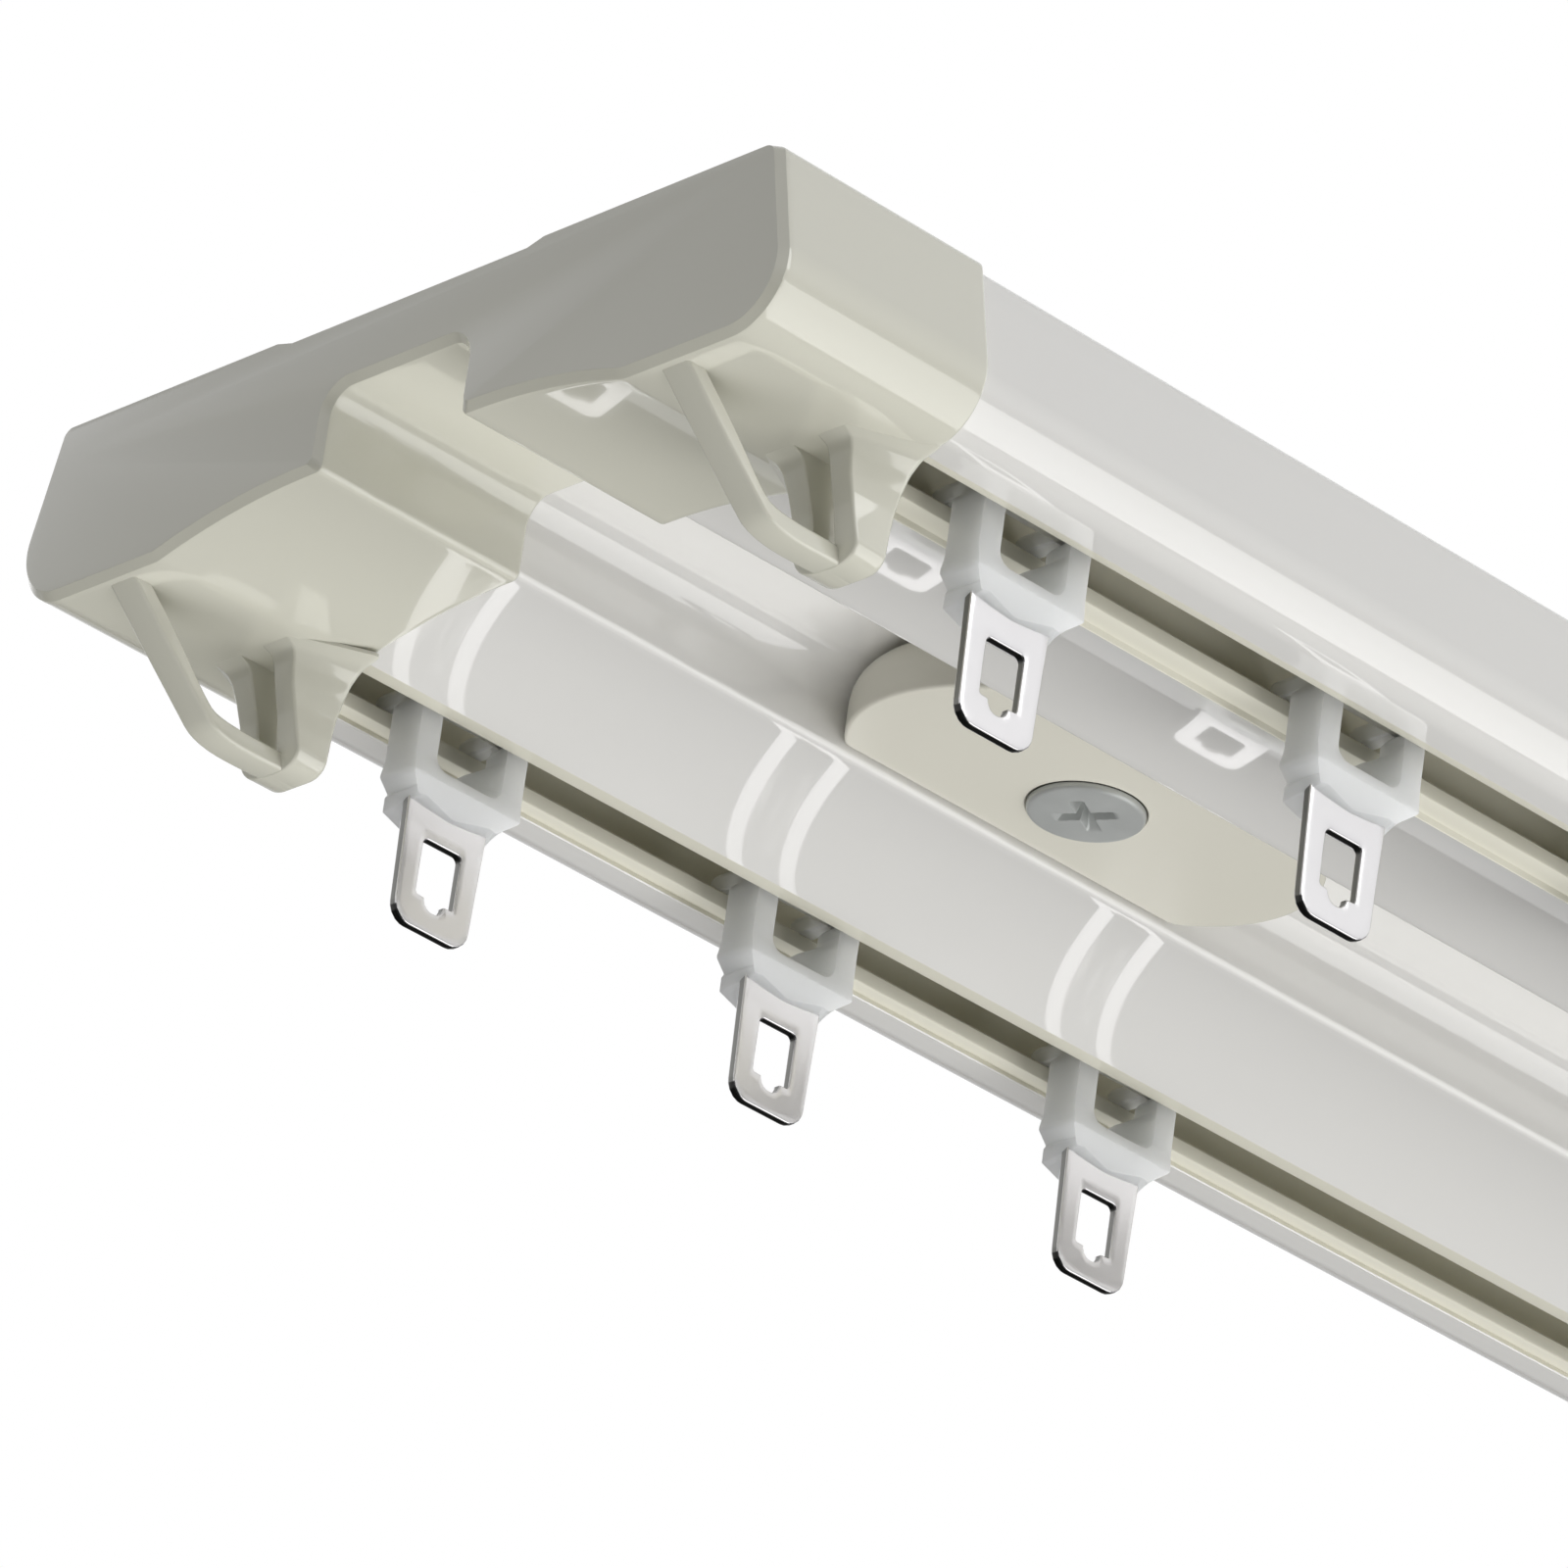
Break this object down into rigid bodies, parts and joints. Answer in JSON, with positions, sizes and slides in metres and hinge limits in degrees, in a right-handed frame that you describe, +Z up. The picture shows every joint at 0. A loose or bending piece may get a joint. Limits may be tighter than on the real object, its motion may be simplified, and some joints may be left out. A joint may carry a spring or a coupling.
{
  "type": "ceiling curtain track, two-run",
  "caption": "Flat white ceiling curtain track with parallel slots, cream end caps with hook loops, sliding gliders with steel eyelets and screwed fixing washers.",
  "frame": {"origin": "middle of the track's flat top, the face that lies against the ceiling", "axes": "+X along the track, towards the plain right-hand end; +Y across it, from run b to run a; +Z up to the ceiling"},
  "size_m": [1.2042, 0.0846, 0.0543],
  "materials": {
    "track": "gloss white skin",
    "end_cap": "satin-gloss cream",
    "washer": "satin-gloss cream",
    "screw": "zinc-plated",
    "glider": "milky translucent",
    "eyelet": "polished nickel plate"
  },
  "bodies": {
    "track": {"track_profile": "track", "end_cap_left": "end_cap", "end_cap_right": "end_cap", "fixing_washer_1": "washer", "fixing_washer_2": "washer", "fixing_washer_3": "washer", "fixing_screw_1": "screw", "fixing_screw_2": "screw", "fixing_screw_3": "screw"},
    "glider_a1": {"glider_a1": "glider", "eyelet_a1": "eyelet"},
    "glider_a2": {"glider_a2": "glider", "eyelet_a2": "eyelet"},
    "glider_a3": {"glider_a3": "glider", "eyelet_a3": "eyelet"},
    "glider_a4": {"glider_a4": "glider", "eyelet_a4": "eyelet"},
    "glider_a5": {"glider_a5": "glider", "eyelet_a5": "eyelet"},
    "glider_a6": {"glider_a6": "glider", "eyelet_a6": "eyelet"},
    "glider_b1": {"glider_b1": "glider", "eyelet_b1": "eyelet"},
    "glider_b2": {"glider_b2": "glider", "eyelet_b2": "eyelet"},
    "glider_b3": {"glider_b3": "glider", "eyelet_b3": "eyelet"},
    "glider_b4": {"glider_b4": "glider", "eyelet_b4": "eyelet"},
    "glider_b5": {"glider_b5": "glider", "eyelet_b5": "eyelet"},
    "glider_b6": {"glider_b6": "glider", "eyelet_b6": "eyelet"}
  },
  "joints": [
    {"name": "slide_a1", "type": "slide", "parent": "track", "child": "glider_a1", "axis": [1, 0, 0], "range_m": [-0.0089, 0.0122]},
    {"name": "slide_a2", "type": "slide", "parent": "track", "child": "glider_a2", "axis": [1, 0, 0], "range_m": [-0.0122, 0.0122]},
    {"name": "slide_a3", "type": "slide", "parent": "track", "child": "glider_a3", "axis": [1, 0, 0], "range_m": [-0.0122, 0.4883]},
    {"name": "slide_a4", "type": "slide", "parent": "track", "child": "glider_a4", "axis": [1, 0, 0], "range_m": [-0.4883, 0.0122]},
    {"name": "slide_a5", "type": "slide", "parent": "track", "child": "glider_a5", "axis": [1, 0, 0], "range_m": [-0.0122, 0.0122]},
    {"name": "slide_a6", "type": "slide", "parent": "track", "child": "glider_a6", "axis": [1, 0, 0], "range_m": [-0.0122, 0.0089]},
    {"name": "slide_b1", "type": "slide", "parent": "track", "child": "glider_b1", "axis": [1, 0, 0], "range_m": [-0.0089, 0.0122]},
    {"name": "slide_b2", "type": "slide", "parent": "track", "child": "glider_b2", "axis": [1, 0, 0], "range_m": [-0.0122, 0.0122]},
    {"name": "slide_b3", "type": "slide", "parent": "track", "child": "glider_b3", "axis": [1, 0, 0], "range_m": [-0.0122, 0.4883]},
    {"name": "slide_b4", "type": "slide", "parent": "track", "child": "glider_b4", "axis": [1, 0, 0], "range_m": [-0.4883, 0.0122]},
    {"name": "slide_b5", "type": "slide", "parent": "track", "child": "glider_b5", "axis": [1, 0, 0], "range_m": [-0.0122, 0.0122]},
    {"name": "slide_b6", "type": "slide", "parent": "track", "child": "glider_b6", "axis": [1, 0, 0], "range_m": [-0.0122, 0.0089]}
  ]
}
